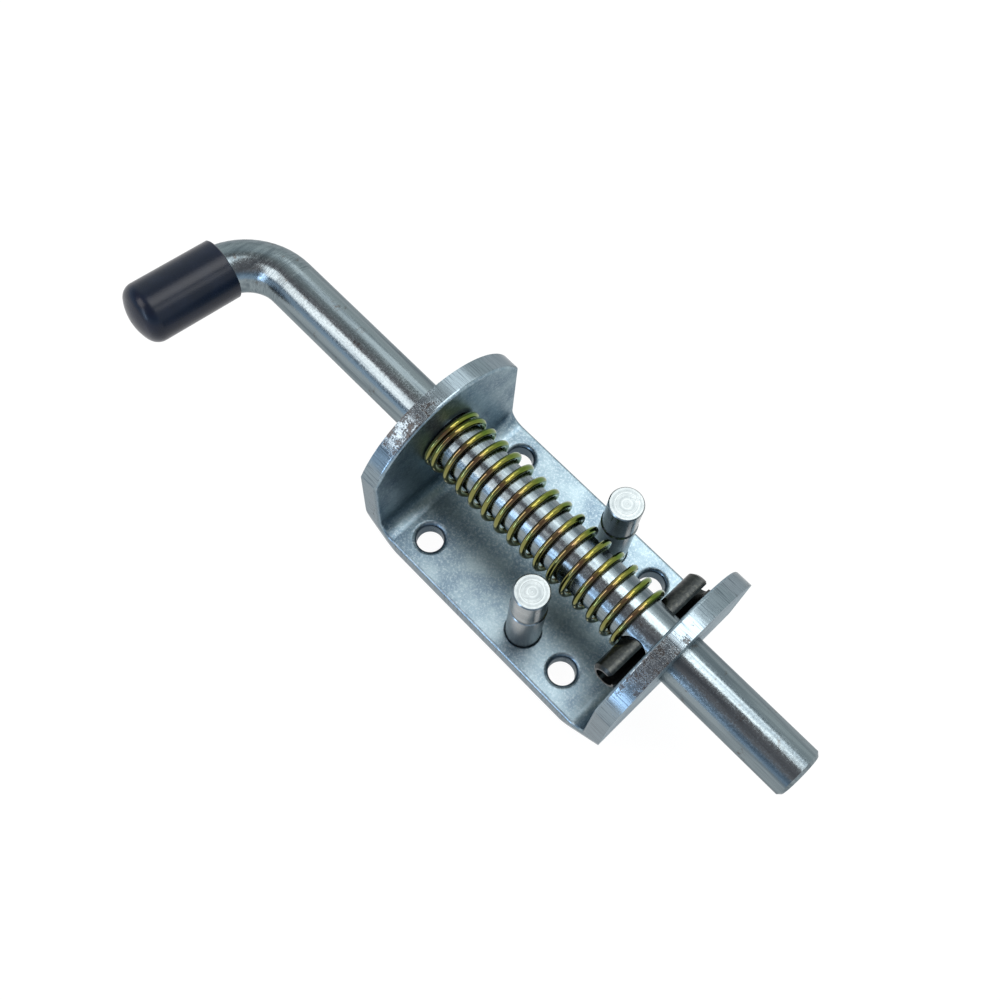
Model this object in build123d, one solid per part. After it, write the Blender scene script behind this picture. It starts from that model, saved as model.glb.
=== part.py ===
from build123d import *
import os
from math import asin, atan2, cos, pi, radians, sin, sqrt, tan

# Spring bolt: a round bolt with a bent grip slides in a bracket bent from thick sheet.
# A coil spring pushes the bolt out, a slotted pin across the bolt carries the spring's thrust,
# and two studs on the plate catch that pin.
# Millimetres. +X points to the bolt's tip, +Z away from the mounting face, +Y to the far side.
# The origin lies on the mounting face under the bolt's axis, halfway along the screw holes.

# Bracket
sheet = 6.0
plate_width = 56.8
flange_gap = 85.7
inner_bend_radius = 5.0
flange_height = 56.1
flange_side_height = 38.2
edge_roll = 1.0
draw_in_rear = 0.7
draw_in_front = 1.5
draw_in_start = 4.8
draw_in_lift = 0.05

# Screw holes, punched from above for M8 screws
screw_hole_diameter = 8.4
screw_to_rear_fold = 7.0
screw_to_front_fold = 11.7
screw_to_side = 9.05
screw_row_shift = 0.5
screw_rim_roll = 1.6

# Bolt
rod_diameter = 16.0
axis_height = 33.7
bore_play = 0.5
bore_rim = 0.5
tip_projection = 43.5
tip_chamfer = 1.0
grip_end_chamfer = 0.8
grip_offset = 80.0
grip_turn = 85.4
grip_bend_radius = 17.5
bolt_roll = 4.4

# Slotted pin across the bolt
pin_diameter = 8.5
pin_length = 40.2
pin_wall = 1.5
pin_slot = 3.2
pin_slot_angle = 47.0
pin_chamfer = 0.85
pin_shift = 0.85
pin_hole_play = 0.05
pin_hole_rim = 0.6
pin_rest_gap = 0.3

# Cap on the grip
cap_diameter = 19.3
cap_reach = 28.3
cap_overlap = 3.9
cap_dome = 5.8
cap_corner_radius = 4.6
cap_end_wall = 4.2
cap_play = 0.05
cap_rim_play = 0.25
cap_rim_round = 0.3

# Studs
stud_to_front_screws = 16.8
stud_to_side = 9.85
stud_height = 37.7
stud_shoulder = 23.8
stud_top_diameter = 10.4
stud_foot_diameter = 10.8
stud_collar_diameter = 11.05
stud_collar_width = 1.2
stud_chamfer = 0.35
stud_hole_play = 0.05
stud_rim_roll = 0.5

# Spring
wire_diameter = 2.0
spring_diameter = 21.0
spring_turns = 15.8
spring_start_angle = -36.0
closed_turn_rear = 1.17
closed_turn_front = 0.8
pitch_change = 0.5
lean_rear = 0.139
lean_front = 0.091
lean_settles_rear = 0.63
lean_settles_front = 0.71
spring_seat_gap = 0.1
points_per_turn = 8

# Places that follow from the sizes above
screw_pitch_x = flange_gap - 2 * inner_bend_radius - screw_to_rear_fold - screw_to_front_fold
screw_pitch_y = plate_width - 2 * screw_to_side
rear_face = -(screw_pitch_x / 2 + screw_to_rear_fold + inner_bend_radius)
front_face = rear_face + flange_gap
half_width = plate_width / 2
rod_radius = rod_diameter / 2
bore_radius = rod_radius + bore_play
bend_outer_radius = inner_bend_radius + sheet
flange_outer_rear = rear_face - sheet
flange_outer_front = front_face + sheet
pin_radius = pin_diameter / 2
pin_x = front_face - pin_rest_gap - pin_radius
tip_x = flange_outer_front + tip_projection
grip_corner_x = flange_outer_rear - grip_offset
cap_radius = cap_diameter / 2


def on_axis(shape):
    """Places a shape made about the X axis on the bolt's axis, with the bolt's own roll."""
    return Pos(0, 0, axis_height) * (Rot(-bolt_roll, 0, 0) * shape)


# Bracket: a U of bent sheet, its flanges cut to an arched outline
def bent_sheet():
    """The U seen from the side, extruded over the plate's width."""
    outer = Pos(0, 0) * Rectangle(
        flange_outer_front - flange_outer_rear, flange_height, align=(Align.MIN, Align.MIN)
    )
    outer = Pos(flange_outer_rear, 0) * outer
    outer = fillet(outer.vertices().group_by(Axis.Y)[0], bend_outer_radius)
    inner = Pos(rear_face, sheet) * Rectangle(flange_gap, flange_height, align=(Align.MIN, Align.MIN))
    inner = fillet(inner.vertices().group_by(Axis.Y)[0], inner_bend_radius)
    profile = Plane.XZ * (outer - inner)
    return extrude(profile, half_width, both=True)


def flange_outline():
    """The arched outline seen along the bolt, as a solid that runs past both flanges."""
    edges = Polyline(
        (half_width, flange_side_height),
        (half_width, 0),
        (-half_width, 0),
        (-half_width, flange_side_height),
    )
    crown = ThreePointArc(
        (half_width, flange_side_height), (0, flange_height), (-half_width, flange_side_height)
    )
    face = Plane.YZ * make_face([edges, crown])
    return Pos(flange_outer_rear - 1, 0, 0) * extrude(face, flange_gap + 2 * sheet + 2)


def rolled_edges(body):
    """The long edges that the punch has pulled round: plate top, inner bends and inner flange faces."""
    chosen = []
    for edge in body.edges():
        middle = edge @ 0.5
        inside = rear_face - 0.01 < middle.X < front_face + 0.01
        on_side = abs(abs(middle.Y) - half_width) < 0.01 and middle.Z > sheet - 0.01
        on_crown = middle.Z > flange_height - 0.01
        if inside and (on_side or on_crown):
            chosen.append(edge)
    return fillet(chosen, edge_roll)


def draw_in(toward, amount):
    """What a bend loses of its width: nothing inside, the given amount at the middle of its outside."""
    reach = bend_outer_radius - draw_in_start
    hollow_radius = reach**2 / (2 * (amount + draw_in_lift))
    corner_x = rear_face + inner_bend_radius if toward < 0 else front_face - inner_bend_radius
    plane = Plane(origin=(corner_x, 0, bend_outer_radius), x_dir=(toward, 0, -1), z_dir=(toward, 0, 1))
    lost = []
    for side in (-1, 1):
        axis_y = half_width + draw_in_lift - hollow_radius
        kept = Cylinder(hollow_radius, 4 * bend_outer_radius)
        block = Pos(reach, hollow_radius, 0) * Box(2 * reach, 2 * hollow_radius, 3 * bend_outer_radius)
        cutter = block - kept
        if side < 0:
            cutter = mirror(cutter, Plane.XZ)
        lost.append(plane * (Pos(draw_in_start, side * axis_y, 0) * cutter))
    return lost


screw_places = []
for along in (-screw_pitch_x / 2, screw_pitch_x / 2):
    for across in (-screw_pitch_y / 2, screw_pitch_y / 2):
        screw_places.append((along, across + screw_row_shift))

stud_x = screw_pitch_x / 2 - stud_to_front_screws
stud_pitch = plate_width - 2 * stud_to_side
stud_places = [(stud_x, -stud_pitch / 2), (stud_x, stud_pitch / 2)]
stud_hole_radius = stud_foot_diameter / 2 + stud_hole_play

bracket = bent_sheet() & flange_outline()
bracket = rolled_edges(bracket)
for cutter in draw_in(-1, draw_in_rear) + draw_in(1, draw_in_front):
    bracket -= cutter
screw_hole_radius = screw_hole_diameter / 2
for x, y in screw_places:
    bracket -= Pos(x, y, sheet / 2) * Cylinder(screw_hole_radius, 2 * sheet)
for x, y in stud_places:
    bracket -= Pos(x, y, sheet / 2) * Cylinder(stud_hole_radius, 2 * sheet)
for face_x in (rear_face - sheet / 2, front_face + sheet / 2):
    bracket -= Pos(face_x, 0, axis_height) * Rot(0, 90, 0) * Cylinder(bore_radius, 2 * sheet)


def rims(body, places, radius, level):
    """The round edges of the given radius on the plate's top face."""
    found = []
    for edge in body.edges().filter_by(GeomType.CIRCLE):
        centre = edge.arc_center
        if abs(edge.radius - radius) > 0.01 or abs(centre.Z - level) > 0.01:
            continue
        if any(abs(centre.X - x) < 0.01 and abs(centre.Y - y) < 0.01 for x, y in places):
            found.append(edge)
    return found


bracket = fillet(rims(bracket, screw_places, screw_hole_radius, sheet), screw_rim_roll)
bracket = fillet(rims(bracket, stud_places, stud_hole_radius, sheet), stud_rim_roll)
bore_edges = []
for edge in bracket.edges().filter_by(GeomType.CIRCLE):
    if abs(edge.radius - bore_radius) < 0.01 and abs(edge.arc_center.Z - axis_height) < 0.01:
        bore_edges.append(edge)
bracket = chamfer(bore_edges, bore_rim)


# Studs: turned, with a burr of a collar where the thinner top begins
def stud():
    """One stud, standing on the level of the mounting face."""
    foot = stud_foot_diameter / 2
    top = stud_top_diameter / 2
    collar = stud_collar_diameter / 2
    shoulder = sheet + stud_shoulder
    height = sheet + stud_height
    outline = Polyline(
        (0, 0),
        (foot, 0),
        (foot, shoulder - stud_collar_width),
        (collar, shoulder - stud_collar_width * 0.6),
        (collar, shoulder - (collar - top)),
        (top, shoulder),
        (top, height - stud_chamfer),
        (top - stud_chamfer, height),
        (0, height),
        close=True,
    )
    return revolve(Plane.XZ * make_face(outline), Axis.Z)


near_stud = Pos(stud_places[0][0], stud_places[0][1], 0) * stud()
far_stud = Pos(stud_places[1][0], stud_places[1][1], 0) * stud()

# Bolt: one round bar, bent to a grip and drilled across for the pin
grip_angle = radians(grip_turn)
bend_setback = grip_bend_radius * tan(grip_angle / 2)
grip_direction = Vector(-cos(grip_angle), -sin(grip_angle), 0)
grip_corner = Vector(grip_corner_x, 0, 0)
bend_start = grip_corner + Vector(bend_setback, 0, 0)
bend_end = grip_corner + grip_direction * bend_setback
grip_end = bend_end + grip_direction * (cap_reach - cap_end_wall)
centreline = FilletPolyline((tip_x, 0, 0), tuple(grip_corner), tuple(grip_end), radius=grip_bend_radius)
rod_section = Plane(origin=(tip_x, 0, 0), z_dir=(-1, 0, 0)) * Circle(rod_radius)
rod = sweep(rod_section, centreline)
rod = chamfer(rod.edges().sort_by(Axis.X)[-1], tip_chamfer)
rod = chamfer(rod.edges().sort_by(Axis.Y)[0], grip_end_chamfer)
pin_hole_radius = pin_radius + pin_hole_play
rod -= Pos(pin_x, 0, 0) * Rot(90, 0, 0) * Cylinder(pin_hole_radius, 2 * rod_diameter)
hole_rims = []
for edge in rod.edges():
    middle = edge @ 0.25
    reach = sqrt((middle.X - pin_x) ** 2 + middle.Z**2)
    if abs(reach - pin_hole_radius) < 0.05 and edge.length > pi * pin_radius:
        hole_rims.append(edge)
rod = chamfer(hole_rims, pin_hole_rim)
bolt_rod = on_axis(rod)


# Pin: a slotted sleeve of spring steel
def slotted_pin():
    """The sleeve along Y, its slot turned up and forward."""
    ring = Circle(pin_radius) - Circle(pin_radius - pin_wall)
    sleeve = extrude(ring, pin_length / 2, both=True)
    outer_edges = []
    for edge in sleeve.edges().filter_by(GeomType.CIRCLE):
        if abs(edge.radius - pin_radius) < 0.01:
            outer_edges.append(edge)
    sleeve = chamfer(outer_edges, pin_chamfer)
    slot = Pos(pin_radius, 0, 0) * Box(2 * pin_radius, pin_slot, 2 * pin_length)
    sleeve -= Rot(0, 0, pin_slot_angle) * slot
    return Rot(90, 0, 0) * sleeve


roll_pin = on_axis(Pos(pin_x, pin_shift, 0) * slotted_pin())


# Cap: a soft sleeve with a closed, domed end
def cap_profile():
    """Half the cap's section: its axis along local X from the bend's end, its radius along local Y."""
    bore = rod_radius + cap_play
    bar_slope = asin(cap_overlap / grip_bend_radius)
    bar_drift = grip_bend_radius * (1 - cos(bar_slope))
    rim_bore = rod_radius / cos(bar_slope) + bar_drift + cap_rim_play
    dome_start = cap_reach - cap_dome
    inner_end = cap_reach - cap_end_wall + cap_play
    outer_wall = Line((-cap_overlap + cap_rim_round, cap_radius), (dome_start, cap_radius))
    corner_rise = cap_radius - cap_corner_radius
    crown_radius = (cap_dome**2 + corner_rise**2 - cap_corner_radius**2) / (
        2 * (cap_dome - cap_corner_radius)
    )
    crown_centre = cap_reach - crown_radius
    crown_angle = atan2(corner_rise, dome_start - crown_centre)
    corner_middle = (pi / 2 + crown_angle) / 2
    corner = ThreePointArc(
        (dome_start, cap_radius),
        (
            dome_start + cap_corner_radius * cos(corner_middle),
            corner_rise + cap_corner_radius * sin(corner_middle),
        ),
        (crown_centre + crown_radius * cos(crown_angle), crown_radius * sin(crown_angle)),
    )
    crown = ThreePointArc(
        (crown_centre + crown_radius * cos(crown_angle), crown_radius * sin(crown_angle)),
        (crown_centre + crown_radius * cos(crown_angle / 2), crown_radius * sin(crown_angle / 2)),
        (cap_reach, 0),
    )
    inside = Polyline(
        (cap_reach, 0),
        (inner_end, 0),
        (inner_end, bore),
        (0, bore),
        (-cap_overlap, rim_bore),
        (-cap_overlap, cap_radius - cap_rim_round),
        (-cap_overlap + cap_rim_round, cap_radius),
    )
    return make_face([outer_wall, corner, crown, inside])


cap_plane = Plane(origin=tuple(bend_end), x_dir=tuple(grip_direction), z_dir=(0, 0, 1))
cap_axis = Axis(tuple(bend_end), tuple(grip_direction))
grip_cap = on_axis(revolve(cap_plane * cap_profile(), cap_axis))


# Spring: a right-hand coil, closed at both ends, leaning a little
def ramp(share):
    """Length gained while a pitch grows evenly from nothing to one over a unit of turns."""
    if share <= 0:
        return 0.0
    if share < 1:
        return share * share / 2
    return share - 0.5


coil_radius = (spring_diameter - wire_diameter) / 2
spring_start = rear_face + wire_diameter / 2 + spring_seat_gap
spring_end = pin_x - pin_radius - spring_seat_gap - wire_diameter / 2
front_change = spring_turns - closed_turn_front
opened = pitch_change * ramp((spring_turns - closed_turn_rear) / pitch_change)
closed = pitch_change * ramp((spring_turns - front_change) / pitch_change)
free_pitch = (
    spring_end - spring_start - wire_diameter * (spring_turns - opened)
) / (opened - closed)


def coil_point(turns):
    """A point of the wire's centre line, counted in turns from its end at the rear flange."""
    gained = pitch_change * ramp((turns - closed_turn_rear) / pitch_change)
    lost = pitch_change * ramp((turns - front_change) / pitch_change)
    along = spring_start + wire_diameter * (turns - gained) + free_pitch * (gained - lost)
    lean = lean_rear + (lean_front - lean_rear) * turns / spring_turns
    lean *= min(turns / lean_settles_rear, 1.0)
    lean *= min(max(spring_turns - turns, 0.0) / lean_settles_front, 1.0)
    angle = radians(spring_start_angle) + 2 * pi * turns
    across = coil_radius * cos(angle)
    return (along + lean * across, across, coil_radius * sin(angle))


step_count = round(spring_turns * points_per_turn)
coil_points = []
for step in range(step_count + 1):
    coil_points.append(coil_point(spring_turns * step / step_count))
coil_line = Spline(coil_points)
wire_section = Plane(origin=coil_line @ 0, z_dir=coil_line % 0) * Circle(wire_diameter / 2)
coil = sweep(wire_section, coil_line, is_frenet=True)
spring = Pos(0, 0, axis_height) * coil

nodes = {
    "bracket": bracket,
    "near_stud": near_stud,
    "far_stud": far_stud,
    "bolt_rod": bolt_rod,
    "roll_pin": roll_pin,
    "grip_cap": grip_cap,
    "spring": spring,
}

os.makedirs("parts", exist_ok=True)
for name, shape in nodes.items():
    export_step(shape, f"parts/{name}.step")
    box = shape.bounding_box()
    print(name, round(shape.volume, 1), "mm3", box.min, box.max)
print("free pitch of the spring", round(free_pitch, 3))
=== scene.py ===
"""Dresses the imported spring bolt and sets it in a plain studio.

Every length in this file is in millimetres until to_metres turns it to Blender's metres.
"""

import logging
import math
from dataclasses import dataclass, field
from enum import Enum, IntEnum

import bpy
from mathutils import Matrix, Vector

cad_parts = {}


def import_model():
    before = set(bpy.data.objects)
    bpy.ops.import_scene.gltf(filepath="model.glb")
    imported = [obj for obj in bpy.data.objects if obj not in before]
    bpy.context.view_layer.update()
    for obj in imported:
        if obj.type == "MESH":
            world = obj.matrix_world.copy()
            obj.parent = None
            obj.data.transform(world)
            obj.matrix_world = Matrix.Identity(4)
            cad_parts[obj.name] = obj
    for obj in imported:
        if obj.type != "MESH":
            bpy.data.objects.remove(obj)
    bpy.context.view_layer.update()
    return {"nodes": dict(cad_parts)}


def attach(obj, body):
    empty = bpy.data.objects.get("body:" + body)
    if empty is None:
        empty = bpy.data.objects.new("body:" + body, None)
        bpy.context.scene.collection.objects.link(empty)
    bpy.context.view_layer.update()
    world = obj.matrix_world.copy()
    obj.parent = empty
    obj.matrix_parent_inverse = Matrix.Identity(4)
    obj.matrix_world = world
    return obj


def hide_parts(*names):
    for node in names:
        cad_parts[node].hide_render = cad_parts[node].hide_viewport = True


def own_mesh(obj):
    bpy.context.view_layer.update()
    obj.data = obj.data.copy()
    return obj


log = logging.getLogger("spring_bolt")

Colour = tuple[float, float, float, float]
Point = tuple[float, float, float]
Begun = tuple[bpy.types.Material, bpy.types.NodeTree, bpy.types.Node, bpy.types.Node]

# Multiplied by this, a direction loses its height.
FLAT: Point = (1.0, 1.0, 0.0)


def to_metres(length: float) -> float:
    """Turns millimetres to metres."""
    return length / 1000.0


def metres(point: Point | Vector) -> Vector:
    """Turns a point in millimetres to a vector in metres."""
    return Vector(point) / 1000.0


def linear(hex_colour: str) -> Colour:
    """Turns an sRGB hex colour to linear light.

    Args:
        hex_colour: six hex digits after a hash.

    Returns:
        Red, green, blue and alpha as Blender's sockets take them.
    """
    values = []
    for start in (1, 3, 5):
        level = int(hex_colour[start : start + 2], 16) / 255.0
        values.append(level / 12.92 if level <= 0.04045 else ((level + 0.055) / 1.055) ** 2.4)
    return (values[0], values[1], values[2], 1.0)


def per_metre(size: float) -> float:
    """The scale of a noise whose blotches are about the given millimetres across."""
    return 1000.0 / size


def add_node(
    tree: bpy.types.NodeTree,
    kind: str,
    sockets: dict[str | int, object] | None = None,
    stops: list[tuple[float, str]] | None = None,
    **settings: object,
) -> bpy.types.Node:
    """Adds one node with its settings, and fills or links its inputs.

    Args:
        tree: the node tree to add to.
        kind: the node's Blender type.
        sockets: input name or index to a plain value or to the output socket that feeds it.
        stops: for a colour ramp, its places from 0 to 1 with their hex colours.
        settings: the node's own properties.

    Returns:
        The new node.
    """
    node = tree.nodes.new(kind)
    for name, value in settings.items():
        setattr(node, name, value)
    for name, value in (sockets or {}).items():
        if isinstance(value, bpy.types.NodeSocket):
            tree.links.new(value, node.inputs[name])
        else:
            node.inputs[name].default_value = value
    for index, (place, hex_colour) in enumerate(stops or []):
        elements = node.color_ramp.elements
        element = elements[index] if index < len(elements) else elements.new(place)
        element.position = place
        element.color = linear(hex_colour)
    return node


class MixInput(IntEnum):
    """The inputs of a Mix node, which has a pair of them for each type of value."""

    SHARE = 0
    NUMBER = 2
    OTHER_NUMBER = 3
    VECTOR = 4
    OTHER_VECTOR = 5
    COLOUR = 6
    OTHER_COLOUR = 7


class MixOutput(IntEnum):
    """The outputs of a Mix node, one for each type of value."""

    NUMBER = 0
    VECTOR = 1
    COLOUR = 2


class Along(Enum):
    """Which way the marks of a surface are drawn out: along the axis with the small number."""

    BOLT = (0.05, 1.0, 1.0)
    GRIP = (1.0, 0.05, 1.0)
    FLANGE_EDGE = (0.03, 1.0, 1.0)
    PLATE_EDGE = (1.0, 1.0, 0.03)


@dataclass(frozen=True)
class Finish:
    """A surface: what it is made of and how its look varies."""

    name: str

    def begin(self) -> Begun:
        """Starts the material.

        Returns:
            The material, its tree, its shader and its texture coordinates.
        """
        material = bpy.data.materials.new(self.name)
        material.use_nodes = True
        tree = material.node_tree
        tree.nodes.clear()
        shader = add_node(tree, "ShaderNodeBsdfPrincipled")
        add_node(tree, "ShaderNodeOutputMaterial", {"Surface": shader.outputs["BSDF"]})
        place = add_node(tree, "ShaderNodeTexCoord")
        return material, tree, shader, place


@dataclass(frozen=True)
class ZincSheet(Finish):
    """Blue passivated zinc on punched and bent steel sheet.

    The rolled faces look frosted and cloudy from the bath, with grains under a millimetre whose glints are
    painted as light flecks. The edges that the punch cut are drawn across the sheet's thickness: burnished
    in some stretches, torn and speckled dark in others. The screw holes' walls are painted dark: painted
    shade of the deep, dim holes.
    Real grains and shear lines are about a tenth of a millimetre, too fine for the picture, so they are
    drawn as coarse as they need to be to show.
    """

    # Rolled faces, whose light flecks are painted glints
    light: str = "#95a8b0"
    middle: str = "#7f939e"
    dark: str = "#687d8c"
    glint_fleck: str = "#bccad0"
    cloud_size: float = 9.0
    grain_size: float = 0.85

    # Cut edges, from where the fold begins in the plate to where it ends in a flange
    cut_light: str = "#87949b"
    cut_dark: str = "#5f6b73"
    shear_size: float = 0.3
    shear_relief: float = 0.25
    sheet: float = 6.0
    shear_start: float = 12.0
    shear_fade: float = 1.0

    # Torn specks, and the stretch across the bracket in which they crowd
    torn: str = "#41362f"
    speck_size: float = 0.5
    patch_size: float = 2.5
    torn_from: float = 2.0
    torn_to: float = -6.0
    torn_last: float = -19.0
    torn_fade: float = 5.0
    torn_crowding: float = 0.25
    torn_most: float = 0.8

    # Screw holes, whose row is shifted a little to the far side, and the painted shade on their walls
    hole_shade: str = "#3f4c57"
    screw_along: float = 28.5
    screw_aside: float = 19.35
    screw_shift: float = 0.5
    screw_radius: float = 4.2
    screw_rim: float = 1.0
    screw_rim_start: float = 0.1
    hole_shade_most: float = 0.9

    # Gloss, with a tint that keeps the passivated metal from turning to a mirror where it is seen edge on
    dulled: str = "#ccd0d2"
    rolled_smooth: float = 0.33
    rolled_rough: float = 0.45
    cut_smooth: float = 0.18
    cut_rough: float = 0.4
    bump_strength: float = 0.4
    bump_depth: float = 0.08

    def make(self) -> bpy.types.Material:
        """Builds the material.

        Returns:
            Frosted zinc, with shear marks on the cut edges.
        """
        material, tree, shader, place = self.begin()
        spot = place.outputs["Object"]
        cloud = add_node(
            tree,
            "ShaderNodeTexNoise",
            {"Vector": spot, "Scale": per_metre(self.cloud_size), "Detail": 5.0, "Roughness": 0.6},
        )
        grain = add_node(
            tree,
            "ShaderNodeTexNoise",
            {"Vector": spot, "Scale": per_metre(self.grain_size), "Detail": 8.0, "Roughness": 0.8},
        )
        cloudy = add_node(
            tree,
            "ShaderNodeValToRGB",
            {"Fac": cloud.outputs["Fac"]},
            stops=[(0.36, self.dark), (0.5, self.middle), (0.66, self.light)],
        )
        # Painted glints: light flecks where the fine grain noise runs high, standing in for grains catching
        # the light.
        painted_glints = add_node(
            tree,
            "ShaderNodeMapRange",
            {"Value": grain.outputs["Fac"], "From Min": 0.47, "From Max": 0.62, "To Max": 0.6},
            interpolation_type="SMOOTHSTEP",
        )
        rolled = add_node(
            tree,
            "ShaderNodeMix",
            {
                MixInput.SHARE: painted_glints.outputs[0],
                MixInput.COLOUR: cloudy.outputs["Color"],
                MixInput.OTHER_COLOUR: linear(self.glint_fleck),
            },
            data_type="RGBA",
        )
        cut = self.cut_share(tree, place)
        flange_edge = add_node(
            tree, "ShaderNodeMapping", {"Vector": spot, "Scale": Along.FLANGE_EDGE.value}
        )
        plate_edge = add_node(
            tree, "ShaderNodeMapping", {"Vector": spot, "Scale": Along.PLATE_EDGE.value}
        )
        across = add_node(
            tree,
            "ShaderNodeMix",
            {
                MixInput.SHARE: self.fold_share(tree, spot),
                MixInput.VECTOR: plate_edge.outputs[0],
                MixInput.OTHER_VECTOR: flange_edge.outputs[0],
            },
            data_type="VECTOR",
        )
        shear = add_node(
            tree,
            "ShaderNodeTexNoise",
            {
                "Vector": across.outputs[MixOutput.VECTOR],
                "Scale": per_metre(self.shear_size),
                "Detail": 3.0,
                "Roughness": 0.6,
            },
        )
        torn = self.torn_share(tree, spot)
        sheared = add_node(
            tree,
            "ShaderNodeValToRGB",
            {"Fac": shear.outputs["Fac"]},
            stops=[(0.36, self.cut_dark), (0.48, self.cut_light)],
        )
        edge = add_node(
            tree,
            "ShaderNodeMix",
            {
                MixInput.SHARE: torn,
                MixInput.COLOUR: sheared.outputs["Color"],
                MixInput.OTHER_COLOUR: linear(self.torn),
            },
            data_type="RGBA",
        )
        outside = add_node(
            tree,
            "ShaderNodeMix",
            {
                MixInput.SHARE: cut,
                MixInput.COLOUR: rolled.outputs[MixOutput.COLOUR],
                MixInput.OTHER_COLOUR: edge.outputs[MixOutput.COLOUR],
            },
            data_type="RGBA",
        )
        # Painted shade: the screw holes' walls are darkened towards a dark slate blue.
        colour = add_node(
            tree,
            "ShaderNodeMix",
            {
                MixInput.SHARE: self.hole_shade_share(tree, spot),
                MixInput.COLOUR: outside.outputs[MixOutput.COLOUR],
                MixInput.OTHER_COLOUR: linear(self.hole_shade),
            },
            data_type="RGBA",
        )
        tree.links.new(colour.outputs[MixOutput.COLOUR], shader.inputs["Base Color"])
        rolled_roughness = add_node(
            tree,
            "ShaderNodeMapRange",
            {
                "Value": grain.outputs["Fac"],
                "From Min": 0.3,
                "From Max": 0.7,
                "To Min": self.rolled_smooth,
                "To Max": self.rolled_rough,
            },
        )
        cut_roughness = add_node(
            tree,
            "ShaderNodeMapRange",
            {"Value": torn, "To Min": self.cut_smooth, "To Max": self.cut_rough},
        )
        roughness = add_node(
            tree,
            "ShaderNodeMix",
            {
                MixInput.SHARE: cut,
                MixInput.NUMBER: rolled_roughness.outputs[0],
                MixInput.OTHER_NUMBER: cut_roughness.outputs[0],
            },
        )
        tree.links.new(roughness.outputs[MixOutput.NUMBER], shader.inputs["Roughness"])
        lines = add_node(
            tree, "ShaderNodeMath", {0: shear.outputs["Fac"], 1: self.shear_relief}, operation="MULTIPLY"
        )
        pits = add_node(tree, "ShaderNodeMath", {0: lines.outputs[0], 1: torn}, operation="SUBTRACT")
        relief = add_node(
            tree,
            "ShaderNodeMix",
            {
                MixInput.SHARE: cut,
                MixInput.NUMBER: grain.outputs["Fac"],
                MixInput.OTHER_NUMBER: pits.outputs[0],
            },
        )
        bump = add_node(
            tree,
            "ShaderNodeBump",
            {
                "Height": relief.outputs[MixOutput.NUMBER],
                "Strength": self.bump_strength,
                "Distance": to_metres(self.bump_depth),
            },
        )
        tree.links.new(bump.outputs["Normal"], shader.inputs["Normal"])
        shader.inputs["Metallic"].default_value = 1.0
        shader.inputs["Specular Tint"].default_value = linear(self.dulled)
        return material

    def fold_share(self, tree: bpy.types.NodeTree, spot: bpy.types.NodeSocket) -> bpy.types.NodeSocket:
        """How far a spot has come round the fold, from the plate to a flange.

        Args:
            tree: the material's tree.
            spot: the place on the piece.

        Returns:
            Nought on the plate, one on the flanges.
        """
        parts = add_node(tree, "ShaderNodeSeparateXYZ", {"Vector": spot})
        return add_node(
            tree,
            "ShaderNodeMapRange",
            {
                "Value": parts.outputs["Z"],
                "From Min": to_metres(self.sheet),
                "From Max": to_metres(self.shear_start),
            },
        ).outputs[0]

    def torn_share(self, tree: bpy.types.NodeTree, spot: bpy.types.NodeSocket) -> bpy.types.NodeSocket:
        """Where a cut edge broke instead of shearing: dark specks, crowded on the near half.

        The two noises add up to about one, and a speck stands where their sum is well above that.

        Args:
            tree: the material's tree.
            spot: the place on the piece.

        Returns:
            One in a torn speck, nought elsewhere.
        """
        parts = add_node(tree, "ShaderNodeSeparateXYZ", {"Vector": spot})
        speck = add_node(
            tree,
            "ShaderNodeTexNoise",
            {"Vector": spot, "Scale": per_metre(self.speck_size), "Detail": 4.0, "Roughness": 0.7},
        )
        begins = add_node(
            tree,
            "ShaderNodeMapRange",
            {
                "Value": parts.outputs["Y"],
                "From Min": to_metres(self.torn_from),
                "From Max": to_metres(self.torn_to),
            },
            interpolation_type="SMOOTHSTEP",
        )
        ends = add_node(
            tree,
            "ShaderNodeMapRange",
            {
                "Value": parts.outputs["Y"],
                "From Min": to_metres(self.torn_last - self.torn_fade),
                "From Max": to_metres(self.torn_last),
            },
            interpolation_type="SMOOTHSTEP",
        )
        crowd = add_node(
            tree, "ShaderNodeMath", {0: begins.outputs[0], 1: ends.outputs[0]}, operation="MULTIPLY"
        )
        stretch = add_node(
            tree, "ShaderNodeTexNoise", {"Vector": spot, "Scale": per_metre(self.patch_size), "Detail": 2.0}
        )
        likely = add_node(
            tree, "ShaderNodeMath", {0: stretch.outputs["Fac"], 1: speck.outputs["Fac"]}, operation="ADD"
        )
        summed = add_node(
            tree,
            "ShaderNodeMath",
            {0: crowd.outputs[0], 1: self.torn_crowding, 2: likely.outputs[0]},
            operation="MULTIPLY_ADD",
        )
        return add_node(
            tree,
            "ShaderNodeMapRange",
            {"Value": summed.outputs[0], "From Min": 1.18, "From Max": 1.42, "To Max": self.torn_most},
            interpolation_type="SMOOTHSTEP",
        ).outputs[0]

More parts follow.
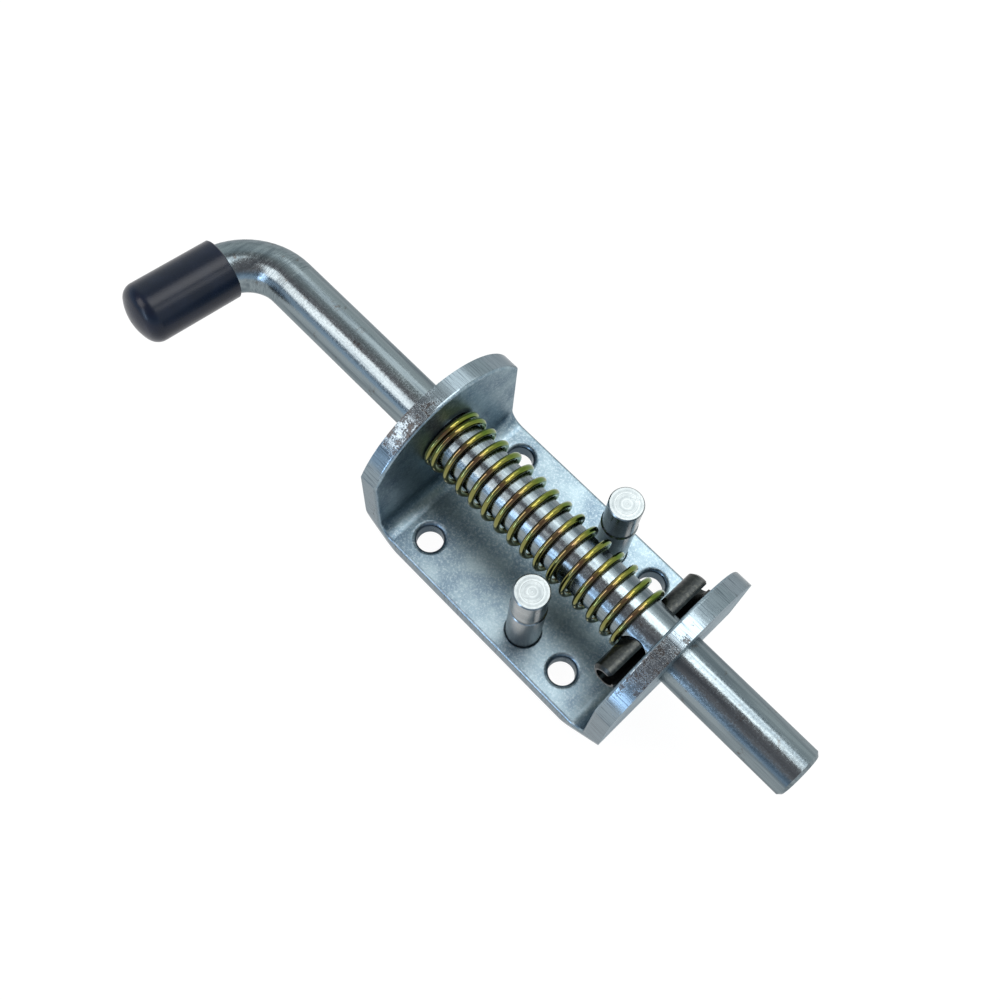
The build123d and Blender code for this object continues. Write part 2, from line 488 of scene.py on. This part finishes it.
    def hole_shade_share(self, tree: bpy.types.NodeTree, spot: bpy.types.NodeSocket) -> bpy.types.NodeSocket:
        """How deep a spot lies in one of the four screw holes, where their walls get painted shade.

        Args:
            tree: the material's tree.
            spot: the place on the piece.

        Returns:
            One on a hole's wall, less on its rolled rim, nought outside.
        """
        shift = (0.0, to_metres(self.screw_shift), 0.0)
        centred = add_node(tree, "ShaderNodeVectorMath", {0: spot, 1: shift}, operation="SUBTRACT")
        mirrored = add_node(tree, "ShaderNodeVectorMath", {0: centred.outputs[0]}, operation="ABSOLUTE")
        centre = (to_metres(self.screw_along), to_metres(self.screw_aside), 0.0)
        from_axis = add_node(
            tree, "ShaderNodeVectorMath", {0: mirrored.outputs[0], 1: centre}, operation="SUBTRACT"
        )
        flat = add_node(
            tree, "ShaderNodeVectorMath", {0: from_axis.outputs[0], 1: FLAT}, operation="MULTIPLY"
        )
        radius = add_node(tree, "ShaderNodeVectorMath", {0: flat.outputs[0]}, operation="LENGTH")
        return add_node(
            tree,
            "ShaderNodeMapRange",
            {
                "Value": radius.outputs["Value"],
                "From Min": to_metres(self.screw_radius + self.screw_rim),
                "From Max": to_metres(self.screw_radius + self.screw_rim_start),
                "To Max": self.hole_shade_most,
            },
        ).outputs[0]

    def cut_share(self, tree: bpy.types.NodeTree, place: bpy.types.Node) -> bpy.types.NodeSocket:
        """How far a spot belongs to an edge that the punch cut.

        Args:
            tree: the material's tree.
            place: its texture coordinates.

        Returns:
            One on the cut edges, nought on the rolled faces.
        """
        facing = add_node(tree, "ShaderNodeSeparateXYZ", {"Vector": place.outputs["Normal"]})
        spot = add_node(tree, "ShaderNodeSeparateXYZ", {"Vector": place.outputs["Object"]})
        along = add_node(tree, "ShaderNodeMath", {0: facing.outputs["X"]}, operation="ABSOLUTE")
        sideways = add_node(tree, "ShaderNodeMath", {0: facing.outputs["Y"]}, operation="ABSOLUTE")
        edge_on = add_node(
            tree, "ShaderNodeMapRange", {"Value": along.outputs[0], "From Min": 0.6, "From Max": 0.35}
        )
        high = add_node(
            tree,
            "ShaderNodeMapRange",
            {
                "Value": spot.outputs["Z"],
                "From Min": to_metres(self.shear_start),
                "From Max": to_metres(self.shear_start + self.shear_fade),
            },
        )
        rim = add_node(
            tree, "ShaderNodeMath", {0: edge_on.outputs[0], 1: high.outputs[0]}, operation="MULTIPLY"
        )
        flank = add_node(
            tree, "ShaderNodeMapRange", {"Value": sideways.outputs[0], "From Min": 0.5, "From Max": 0.8}
        )
        return add_node(
            tree, "ShaderNodeMath", {0: rim.outputs[0], 1: flank.outputs[0]}, operation="MAXIMUM"
        ).outputs[0]


@dataclass(frozen=True)
class ZincBar(Finish):
    """Blue passivated zinc on cold drawn round bar.

    It is smoother than the sheet and mirrors the room in long bands, broken by dull specks and short
    brownish marks that lie along the bar from drawing and handling. The lines that the die left are too fine
    for the picture, so they are drawn as streaks of a millimetre or two. The dulled tint is the sheet's.
    """

    light: str = "#859094"
    dark: str = "#646f75"
    mark: str = "#50453b"
    streak_size: float = 2.4
    speck_size: float = 0.55
    patch_size: float = 5.0
    grip_start: float = -112.0
    grip_fade: float = 5.0
    worn_most: float = 0.65
    smooth: float = 0.15
    rough: float = 0.3
    dulled: str = "#ccd0d2"
    bump_strength: float = 0.12
    bump_depth: float = 0.1

    def make(self) -> bpy.types.Material:
        """Builds the material.

        Returns:
            Zinc with drawing marks that follow the bar round to its grip.
        """
        material, tree, shader, place = self.begin()
        spot = place.outputs["Object"]
        parts = add_node(tree, "ShaderNodeSeparateXYZ", {"Vector": spot})
        on_grip = add_node(
            tree,
            "ShaderNodeMapRange",
            {
                "Value": parts.outputs["X"],
                "From Min": to_metres(self.grip_start + self.grip_fade),
                "From Max": to_metres(self.grip_start - self.grip_fade),
            },
        )
        straight = add_node(tree, "ShaderNodeMapping", {"Vector": spot, "Scale": Along.BOLT.value})
        turned = add_node(tree, "ShaderNodeMapping", {"Vector": spot, "Scale": Along.GRIP.value})
        drawn = add_node(
            tree,
            "ShaderNodeMix",
            {
                MixInput.SHARE: on_grip.outputs[0],
                MixInput.VECTOR: straight.outputs[0],
                MixInput.OTHER_VECTOR: turned.outputs[0],
            },
            data_type="VECTOR",
        )
        streak = add_node(
            tree,
            "ShaderNodeTexNoise",
            {
                "Vector": drawn.outputs[MixOutput.VECTOR],
                "Scale": per_metre(self.streak_size),
                "Detail": 5.0,
                "Roughness": 0.6,
            },
        )
        speck = add_node(
            tree, "ShaderNodeTexNoise", {"Vector": spot, "Scale": per_metre(self.speck_size), "Detail": 2.0}
        )
        patch = add_node(
            tree,
            "ShaderNodeTexNoise",
            {"Vector": spot, "Scale": per_metre(self.patch_size), "Detail": 6.0, "Roughness": 0.7},
        )
        colour = add_node(
            tree,
            "ShaderNodeValToRGB",
            {"Fac": streak.outputs["Fac"]},
            stops=[(0.36, self.dark), (0.56, self.light)],
        )
        worn = add_node(
            tree,
            "ShaderNodeMapRange",
            {"Value": patch.outputs["Fac"], "From Min": 0.6, "From Max": 0.7, "To Max": self.worn_most},
            interpolation_type="SMOOTHSTEP",
        )
        marked = add_node(
            tree,
            "ShaderNodeMix",
            {
                MixInput.SHARE: worn.outputs[0],
                MixInput.COLOUR: colour.outputs["Color"],
                MixInput.OTHER_COLOUR: linear(self.mark),
            },
            data_type="RGBA",
        )
        tree.links.new(marked.outputs[MixOutput.COLOUR], shader.inputs["Base Color"])
        roughness = add_node(
            tree,
            "ShaderNodeMapRange",
            {
                "Value": speck.outputs["Fac"],
                "From Min": 0.4,
                "From Max": 0.7,
                "To Min": self.smooth,
                "To Max": self.rough,
            },
        )
        tree.links.new(roughness.outputs[0], shader.inputs["Roughness"])
        relief = add_node(
            tree, "ShaderNodeMath", {0: streak.outputs["Fac"], 1: speck.outputs["Fac"]}, operation="ADD"
        )
        bump = add_node(
            tree,
            "ShaderNodeBump",
            {
                "Height": relief.outputs[0],
                "Strength": self.bump_strength,
                "Distance": to_metres(self.bump_depth),
            },
        )
        tree.links.new(bump.outputs["Normal"], shader.inputs["Normal"])
        shader.inputs["Metallic"].default_value = 1.0
        shader.inputs["Specular Tint"].default_value = linear(self.dulled)
        return material


@dataclass(frozen=True)
class TurnedZinc(Finish):
    """Blue passivated zinc on a turned steel stud.

    The lathe left fine rings round the sides and on the flat top, which glint as thin circles. A real feed
    mark is about a tenth of a millimetre wide, and the rings are drawn wider so that they show.
    """

    light: str = "#8b9192"
    dark: str = "#72797b"
    scratch: str = "#4c5356"
    ring_width: float = 0.5
    stain_size: float = 4.0
    scratch_size: float = 1.6
    scratch_width: float = 0.05
    scratch_most: float = 0.5
    stud_along: float = 11.7
    stud_aside: float = 18.55
    roughness: float = 0.22
    bump_strength: float = 0.3
    bump_depth: float = 0.08

    def make(self) -> bpy.types.Material:
        """Builds the material.

        Returns:
            Zinc with rings about each stud's own axis.
        """
        material, tree, shader, place = self.begin()
        spot = place.outputs["Object"]
        mirrored = add_node(tree, "ShaderNodeVectorMath", {0: spot}, operation="ABSOLUTE")
        centre = (to_metres(self.stud_along), to_metres(self.stud_aside), 0.0)
        from_axis = add_node(
            tree, "ShaderNodeVectorMath", {0: mirrored.outputs[0], 1: centre}, operation="SUBTRACT"
        )
        flat = add_node(
            tree, "ShaderNodeVectorMath", {0: from_axis.outputs[0], 1: FLAT}, operation="MULTIPLY"
        )
        radius = add_node(tree, "ShaderNodeVectorMath", {0: flat.outputs[0]}, operation="LENGTH")
        height = add_node(tree, "ShaderNodeSeparateXYZ", {"Vector": spot})
        section = add_node(
            tree, "ShaderNodeCombineXYZ", {"X": radius.outputs["Value"], "Y": height.outputs["Z"], "Z": 0.0}
        )
        rings = add_node(
            tree,
            "ShaderNodeTexNoise",
            {
                "Vector": section.outputs[0],
                "Scale": per_metre(self.ring_width),
                "Detail": 3.0,
                "Roughness": 0.6,
            },
        )
        stain = add_node(
            tree,
            "ShaderNodeTexNoise",
            {"Vector": spot, "Scale": per_metre(self.stain_size), "Detail": 4.0, "Roughness": 0.6},
        )
        mixed = add_node(
            tree,
            "ShaderNodeMix",
            {
                MixInput.SHARE: 0.5,
                MixInput.NUMBER: rings.outputs["Fac"],
                MixInput.OTHER_NUMBER: stain.outputs["Fac"],
            },
        )
        colour = add_node(
            tree,
            "ShaderNodeValToRGB",
            {"Fac": mixed.outputs[MixOutput.NUMBER]},
            stops=[(0.38, self.dark), (0.56, self.light)],
        )
        scratch = add_node(
            tree,
            "ShaderNodeTexVoronoi",
            {"Vector": spot, "Scale": per_metre(self.scratch_size), "Randomness": 1.0},
            feature="DISTANCE_TO_EDGE",
        )
        thin = add_node(
            tree,
            "ShaderNodeMapRange",
            {
                "Value": scratch.outputs["Distance"],
                "From Min": self.scratch_width,
                "From Max": 0.0,
                "To Max": self.scratch_most,
            },
        )
        some = add_node(
            tree,
            "ShaderNodeMapRange",
            {"Value": stain.outputs["Fac"], "From Min": 0.45, "From Max": 0.6},
        )
        scratched = add_node(
            tree, "ShaderNodeMath", {0: thin.outputs[0], 1: some.outputs[0]}, operation="MULTIPLY"
        )
        marked = add_node(
            tree,
            "ShaderNodeMix",
            {
                MixInput.SHARE: scratched.outputs[0],
                MixInput.COLOUR: colour.outputs["Color"],
                MixInput.OTHER_COLOUR: linear(self.scratch),
            },
            data_type="RGBA",
        )
        tree.links.new(marked.outputs[MixOutput.COLOUR], shader.inputs["Base Color"])
        bump = add_node(
            tree,
            "ShaderNodeBump",
            {
                "Height": rings.outputs["Fac"],
                "Strength": self.bump_strength,
                "Distance": to_metres(self.bump_depth),
            },
        )
        tree.links.new(bump.outputs["Normal"], shader.inputs["Normal"])
        shader.inputs["Metallic"].default_value = 1.0
        shader.inputs["Roughness"].default_value = self.roughness
        return material


@dataclass(frozen=True)
class YellowZincWire(Finish):
    """Yellow passivated zinc on drawn spring wire.

    The thin film turns green, gold and copper by its thickness. Here the tints are laid out by side: green
    on the far side of the coil, straw on the near side, and copper and gold between, a painted reflection of
    how the film's colour shifts with its angle to the lamps and the eye. The drawn wire below keeps it very
    shiny.
    """

    green: str = "#566f28"
    gold: str = "#8b8242"
    copper: str = "#856c52"
    straw: str = "#7d7c48"
    tint_size: float = 6.0
    tint_wander: float = 0.1
    painted_reflection_reach: float = 10.5
    roughness: float = 0.09

    def make(self) -> bpy.types.Material:
        """Builds the material.

        Returns:
            Shiny wire whose tint changes across the coil as a painted reflection.
        """
        material, tree, shader, place = self.begin()
        spot = place.outputs["Object"]
        tint = add_node(
            tree, "ShaderNodeTexNoise", {"Vector": spot, "Scale": per_metre(self.tint_size), "Detail": 3.0}
        )
        sides = add_node(tree, "ShaderNodeSeparateXYZ", {"Vector": spot})
        # Painted reflection: the tint runs from the coil's near side to its far side, standing in for colour
        # that changes with angle.
        across = add_node(
            tree,
            "ShaderNodeMapRange",
            {
                "Value": sides.outputs["Y"],
                "From Min": to_metres(-self.painted_reflection_reach),
                "From Max": to_metres(self.painted_reflection_reach),
            },
        )
        wander = add_node(
            tree,
            "ShaderNodeMapRange",
            {
                "Value": tint.outputs["Fac"],
                "From Min": 0.3,
                "From Max": 0.7,
                "To Min": -self.tint_wander,
                "To Max": self.tint_wander,
            },
        )
        share = add_node(
            tree, "ShaderNodeMath", {0: across.outputs[0], 1: wander.outputs[0]}, operation="ADD"
        )
        colour = add_node(
            tree,
            "ShaderNodeValToRGB",
            {"Fac": share.outputs[0]},
            stops=[(0.12, self.straw), (0.36, self.copper), (0.52, self.gold), (0.84, self.green)],
        )
        tree.links.new(colour.outputs["Color"], shader.inputs["Base Color"])
        shader.inputs["Metallic"].default_value = 1.0
        shader.inputs["Roughness"].default_value = self.roughness
        return material


@dataclass(frozen=True)
class BlackOxide(Finish):
    """Black oxide on hard spring steel: dark, oily and a little brown, rubbed lighter in patches."""

    black: str = "#313434"
    worn: str = "#444643"
    rub_size: float = 0.9
    metallic: float = 0.9
    roughness: float = 0.27

    def make(self) -> bpy.types.Material:
        """Builds the material.

        Returns:
            Dark steel, rubbed lighter in patches.
        """
        material, tree, shader, place = self.begin()
        rub = add_node(
            tree,
            "ShaderNodeTexNoise",
            {"Vector": place.outputs["Object"], "Scale": per_metre(self.rub_size), "Detail": 4.0},
        )
        colour = add_node(
            tree,
            "ShaderNodeValToRGB",
            {"Fac": rub.outputs["Fac"]},
            stops=[(0.46, self.black), (0.68, self.worn)],
        )
        tree.links.new(colour.outputs["Color"], shader.inputs["Base Color"])
        shader.inputs["Metallic"].default_value = self.metallic
        shader.inputs["Roughness"].default_value = self.roughness
        return material


@dataclass(frozen=True)
class SoftVinyl(Finish):
    """Dip-moulded soft vinyl: a dark satin skin with a faint orange peel, greyer where it was handled."""

    base: str = "#091323"
    rubbed: str = "#0f192b"
    peel_size: float = 0.9
    rub_size: float = 7.0
    roughness: float = 0.27
    specular: float = 0.28
    bump_strength: float = 0.1
    bump_depth: float = 0.1

    def make(self) -> bpy.types.Material:
        """Builds the material.

        Returns:
            A dark satin skin.
        """
        material, tree, shader, place = self.begin()
        spot = place.outputs["Object"]
        peel = add_node(
            tree, "ShaderNodeTexNoise", {"Vector": spot, "Scale": per_metre(self.peel_size), "Detail": 2.0}
        )
        rub = add_node(
            tree, "ShaderNodeTexNoise", {"Vector": spot, "Scale": per_metre(self.rub_size), "Detail": 4.0}
        )
        colour = add_node(
            tree,
            "ShaderNodeValToRGB",
            {"Fac": rub.outputs["Fac"]},
            stops=[(0.42, self.base), (0.68, self.rubbed)],
        )
        tree.links.new(colour.outputs["Color"], shader.inputs["Base Color"])
        shader.inputs["Roughness"].default_value = self.roughness
        shader.inputs["Specular IOR Level"].default_value = self.specular
        bump = add_node(
            tree,
            "ShaderNodeBump",
            {
                "Height": peel.outputs["Fac"],
                "Strength": self.bump_strength,
                "Distance": to_metres(self.bump_depth),
            },
        )
        tree.links.new(bump.outputs["Normal"], shader.inputs["Normal"])
        return material


def dress(shape: bpy.types.Object, material: bpy.types.Material) -> None:
    """Gives every face of a shape one material."""
    shape.data.materials.clear()
    shape.data.materials.append(material)


@dataclass
class Bracket:
    """The bent sheet bracket with its two riveted studs."""

    sheet: ZincSheet = field(default_factory=lambda: ZincSheet("blue_zinc_on_punched_sheet"))
    turned: TurnedZinc = field(default_factory=lambda: TurnedZinc("blue_zinc_on_turned_stud"))

    def build(self, nodes: dict[str, bpy.types.Object]) -> list[str]:
        """Dresses the bracket and the studs.

        Args:
            nodes: the frame's nodes by name.

        Returns:
            The names of what was dressed.
        """
        dress(nodes["bracket"], self.sheet.make())
        turned = self.turned.make()
        for name in ("near_stud", "far_stud"):
            dress(nodes[name], turned)
        return ["bracket", "near_stud", "far_stud"]


@dataclass
class SlidingBolt:
    """The bent bar, its cross pin and the cap on its grip."""

    bar: ZincBar = field(default_factory=lambda: ZincBar("blue_zinc_on_drawn_bar"))
    pin: BlackOxide = field(default_factory=lambda: BlackOxide("black_oxide_on_spring_steel"))
    cap: SoftVinyl = field(default_factory=lambda: SoftVinyl("soft_vinyl"))

    def build(self, nodes: dict[str, bpy.types.Object]) -> list[str]:
        """Dresses the bar, the pin and the cap.

        Args:
            nodes: the frame's nodes by name.

        Returns:
            The names of what was dressed.
        """
        dress(nodes["bolt_rod"], self.bar.make())
        dress(nodes["roll_pin"], self.pin.make())
        dress(nodes["grip_cap"], self.cap.make())
        return ["bolt_rod", "roll_pin", "grip_cap"]


@dataclass
class CoilSpring:
    """The coil spring, made as a tube along its own line.

    Its end turns are closed and lean over as they settle on the flange and on the pin. The gap at both ends
    leaves the leaning last turn clear of the pin when the bolt is turned.
    """

    axis_height: float = 33.7
    rear_seat: float = -40.5
    front_seat: float = 36.4
    wire: float = 2.0
    outer: float = 21.0
    turns: float = 15.8
    start_angle: float = -36.0
    closed_rear: float = 1.17
    closed_front: float = 0.8
    change: float = 0.5
    lean_rear: float = 0.139
    lean_front: float = 0.091
    settles_rear: float = 0.63
    settles_front: float = 0.71
    gap: float = 0.15
    travel: float = 19.1
    steps_per_turn: int = 44
    sides: int = 16
    finish: YellowZincWire = field(default_factory=lambda: YellowZincWire("yellow_zinc_on_spring_wire"))

    def ramp(self, share: float) -> float:
        """Length gained while a pitch grows evenly from nothing to one over a unit of turns."""
        if share <= 0:
            return 0.0
        return share * share / 2 if share < 1 else share - 0.5

    def point(self, turns: float) -> Vector:
        """A point of the wire's centre line.

        Args:
            turns: turns counted from the wire's end at the rear flange.

        Returns:
            The point in millimetres.
        """
        radius = (self.outer - self.wire) / 2
        front_change = self.turns - self.closed_front
        start = self.rear_seat + self.wire / 2 + self.gap
        end = self.front_seat - self.gap - self.wire / 2
        opened = self.change * self.ramp((self.turns - self.closed_rear) / self.change)
        closed = self.change * self.ramp((self.turns - front_change) / self.change)
        pitch = (end - start - self.wire * (self.turns - opened)) / (opened - closed)
        gained = self.change * self.ramp((turns - self.closed_rear) / self.change)
        lost = self.change * self.ramp((turns - front_change) / self.change)
        along = start + self.wire * (turns - gained) + pitch * (gained - lost)
        lean = self.lean_rear + (self.lean_front - self.lean_rear) * turns / self.turns
        lean *= min(turns / self.settles_rear, 1.0)
        lean *= min(max(self.turns - turns, 0.0) / self.settles_front, 1.0)
        angle = math.radians(self.start_angle) + 2 * math.pi * turns
        across = radius * math.cos(angle)
        return Vector((along + lean * across, across, self.axis_height + radius * math.sin(angle)))

    def mesh(self) -> bpy.types.Mesh:
        """Sweeps the wire's round section along its line.

        Returns:
            A closed tube with flat, sheared ends.
        """
        count = round(self.turns * self.steps_per_turn)
        line = [self.point(self.turns * step / count) for step in range(count + 1)]
        points, faces = [], []
        for index, centre in enumerate(line):
            before = line[max(index - 1, 0)]
            after = line[min(index + 1, count)]
            forward = (after - before).normalized()
            outward = Vector((0.0, centre.y, centre.z - self.axis_height))
            outward = (outward - forward * outward.dot(forward)).normalized()
            beside = forward.cross(outward)
            for side in range(self.sides):
                turn = 2 * math.pi * side / self.sides
                offset = outward * math.cos(turn) + beside * math.sin(turn)
                points.append(metres(centre + offset * self.wire / 2))
        for ring in range(count):
            for side in range(self.sides):
                near, far = ring * self.sides, (ring + 1) * self.sides
                following = (side + 1) % self.sides
                faces.append((near + side, near + following, far + following, far + side))
        faces.append(tuple(reversed(range(self.sides))))
        faces.append(tuple(range(count * self.sides, (count + 1) * self.sides)))
        mesh = bpy.data.meshes.new("spring_coil")
        mesh.from_pydata(points, [], faces)
        mesh.update()
        for polygon in mesh.polygons:
            polygon.use_smooth = len(polygon.vertices) == 4
        return mesh

    def build(self) -> list[str]:
        """Puts the coil in the place of the plain solid and rides it on the bracket.

        Returns:
            The name of the coil.
        """
        coil = bpy.data.objects.new("spring_coil", self.mesh())
        bpy.context.scene.collection.objects.link(coil)
        dress(coil, self.finish.make())
        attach(coil, "bracket")
        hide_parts("spring")
        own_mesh(coil)
        return [coil.name]


@dataclass(frozen=True)
class SoftBox:
    """One soft lamp: where it hangs, its size, how bright its face is, where 1 is white, and its colour.

    A square one faces the bolt's axis squarely, and another looks at the middle of the plate.
    """

    name: str
    place: Point
    width: float
    height: float
    glow: float
    tint: str = "#ffffff"
    square: bool = True


@dataclass
class Studio:
    """A plain white floor, soft lamps and the camera at the photograph's angle.

    The lamps' places come from the bands that the bright bar mirrors.
    """

    camera_place: Point = (64.9, -102.19, 351.07)
    camera_aim: Point = (-15.74, -3.25, 33.7)
    camera_roll: float = 7.108
    lens: float = 43.17
    sensor: float = 36.0
    nearest: float = 10.0
    lamp_height: float = 33.7
    floor_level: float = -1.0
    floor_size: float = 60000.0
    floor_paper: str = "#e6e6e6"
    floor_glow: float = 1.06
    floor_white_share: float = 0.9
    room_glow: float = 1.05
    lamps: tuple[SoftBox, ...] = (
        SoftBox("overhead_box", (30, 190, 603), 250, 355, 4.1),
        SoftBox("overhead_side", (-153, 190, 603), 116, 370, 2.4),
        SoftBox("right_box", (365, 150, 580), 130, 200, 3.4, square=False),
        SoftBox("near_box", (-303, -390, 490), 290, 380, 3.5, "#fffaf8"),
        SoftBox("near_glow", (-125, -390, 490), 70, 380, 0.45, "#fff6f2"),
        SoftBox("far_box", (-200, 400, 440), 420, 260, 1.1, square=False),
        SoftBox("window_high", (-110, -535, 300), 120, 200, 4.6, "#cfe4ff", square=False),
        SoftBox("window_low", (-45, -580, 150), 130, 160, 5.4, "#c4deff", square=False),
    )

    def camera(self) -> None:
        """Sets the camera where the photograph was taken from."""
        lens = bpy.data.cameras.new("camera")
        lens.lens = self.lens
        lens.sensor_width = self.sensor
        lens.clip_start = to_metres(self.nearest)
        body = bpy.data.objects.new("camera", lens)
        place = metres(self.camera_place)
        turn = (metres(self.camera_aim) - place).to_track_quat("-Z", "Y").to_matrix().to_4x4()
        roll = Matrix.Rotation(math.radians(self.camera_roll), 4, "Z")
        body.matrix_world = Matrix.Translation(place) @ turn @ roll
        bpy.context.scene.collection.objects.link(body)
        bpy.context.scene.camera = body

    def floor(self) -> None:
        """Lays a plain floor that shows as white to the eye and in the metal, and keeps a faint shadow."""
        half = to_metres(self.floor_size) / 2
        level = to_metres(self.floor_level)
        mesh = bpy.data.meshes.new("floor")
        corners = [(-half, -half, level), (half, -half, level), (half, half, level), (-half, half, level)]
        mesh.from_pydata(corners, [], [(0, 1, 2, 3)])
        plane = bpy.data.objects.new("floor", mesh)
        bpy.context.scene.collection.objects.link(plane)
        material = bpy.data.materials.new("white_paper_floor")
        material.use_nodes = True
        tree = material.node_tree
        tree.nodes.clear()
        path = add_node(tree, "ShaderNodeLightPath")
        by_eye_or_gloss = add_node(
            tree,
            "ShaderNodeMath",
            {0: path.outputs["Is Camera Ray"], 1: path.outputs["Is Glossy Ray"]},
            operation="MAXIMUM",
        )
        seen = add_node(
            tree,
            "ShaderNodeMath",
            {0: by_eye_or_gloss.outputs[0], 1: path.outputs["Is Transmission Ray"]},
            operation="MAXIMUM",
        )
        share = add_node(
            tree, "ShaderNodeMath", {0: seen.outputs[0], 1: self.floor_white_share}, operation="MULTIPLY"
        )
        paper = add_node(tree, "ShaderNodeBsdfDiffuse", {"Color": linear(self.floor_paper)})
        white = add_node(
            tree, "ShaderNodeEmission", {"Color": linear("#ffffff"), "Strength": self.floor_glow}
        )
        mixed = add_node(
            tree, "ShaderNodeMixShader", {0: share.outputs[0], 1: paper.outputs[0], 2: white.outputs[0]}
        )
        add_node(tree, "ShaderNodeOutputMaterial", {"Surface": mixed.outputs[0]})
        dress(plane, material)

    def lamp(self, box: SoftBox) -> None:
        """Hangs one soft box that faces the bolt.

        Args:
            box: the soft box.
        """
        light = bpy.data.lights.new(box.name, "AREA")
        light.shape = "RECTANGLE"
        light.size = to_metres(box.width)
        light.size_y = to_metres(box.height)
        light.energy = box.glow * math.pi * light.size * light.size_y
        light.color = linear(box.tint)[:3]
        body = bpy.data.objects.new(box.name, light)
        aim = (box.place[0] if box.square else 0.0, 0.0, self.lamp_height)
        turn = (metres(aim) - metres(box.place)).to_track_quat("-Z", "Y").to_matrix().to_4x4()
        body.matrix_world = Matrix.Translation(metres(box.place)) @ turn
        bpy.context.scene.collection.objects.link(body)

    def world(self) -> None:
        """Gives the room pale walls and a dark ceiling, the walls a cool blue on the near side."""
        world = bpy.data.worlds.new("room")
        bpy.context.scene.world = world
        world.use_nodes = True
        tree = world.node_tree
        tree.nodes.clear()
        place = add_node(tree, "ShaderNodeTexCoord")
        way = add_node(tree, "ShaderNodeSeparateXYZ", {"Vector": place.outputs["Generated"]})
        far_wall = add_node(
            tree,
            "ShaderNodeValToRGB",
            {"Fac": way.outputs["Z"]},
            stops=[(0.0, "#e4eaea"), (0.5, "#eef4f4"), (0.75, "#dfe8ea"), (0.97, "#94928f")],
        )
        near_wall = add_node(
            tree,
            "ShaderNodeValToRGB",
            {"Fac": way.outputs["Z"]},
            stops=[
                (0.0, "#d6eaff"),
                (0.22, "#cfe6ff"),
                (0.42, "#8a9cb0"),
                (0.6, "#a19a9c"),
                (0.97, "#968f92"),
            ],
        )
        side = add_node(
            tree, "ShaderNodeMapRange", {"Value": way.outputs["Y"], "From Min": -0.2, "From Max": 0.2}
        )
        wall = add_node(
            tree,
            "ShaderNodeMix",
            {
                MixInput.SHARE: side.outputs[0],
                MixInput.COLOUR: near_wall.outputs["Color"],
                MixInput.OTHER_COLOUR: far_wall.outputs["Color"],
            },
            data_type="RGBA",
        )
        sky = add_node(
            tree,
            "ShaderNodeBackground",
            {"Color": wall.outputs[MixOutput.COLOUR], "Strength": self.room_glow},
        )
        add_node(tree, "ShaderNodeOutputWorld", {"Surface": sky.outputs[0]})

    def build(self) -> list[str]:
        """Sets up floor, room, lamps and camera.

        Returns:
            The names of the stage's parts.
        """
        self.camera()
        self.floor()
        self.world()
        for box in self.lamps:
            self.lamp(box)
        bpy.context.scene.view_settings.view_transform = "Standard"
        return ["camera", "floor", "room", "lamps"]


def main() -> None:
    """Loads the frame and builds every piece."""
    logging.basicConfig(level=logging.INFO, format="%(name)s: %(message)s")
    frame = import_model()
    nodes = frame["nodes"]
    log.info("dressed %s", ", ".join(Bracket().build(nodes)))
    log.info("dressed %s", ", ".join(SlidingBolt().build(nodes)))
    log.info("built %s", ", ".join(CoilSpring().build()))
    log.info("set up %s", ", ".join(Studio().build()))


if __name__ == "__main__":
    main()
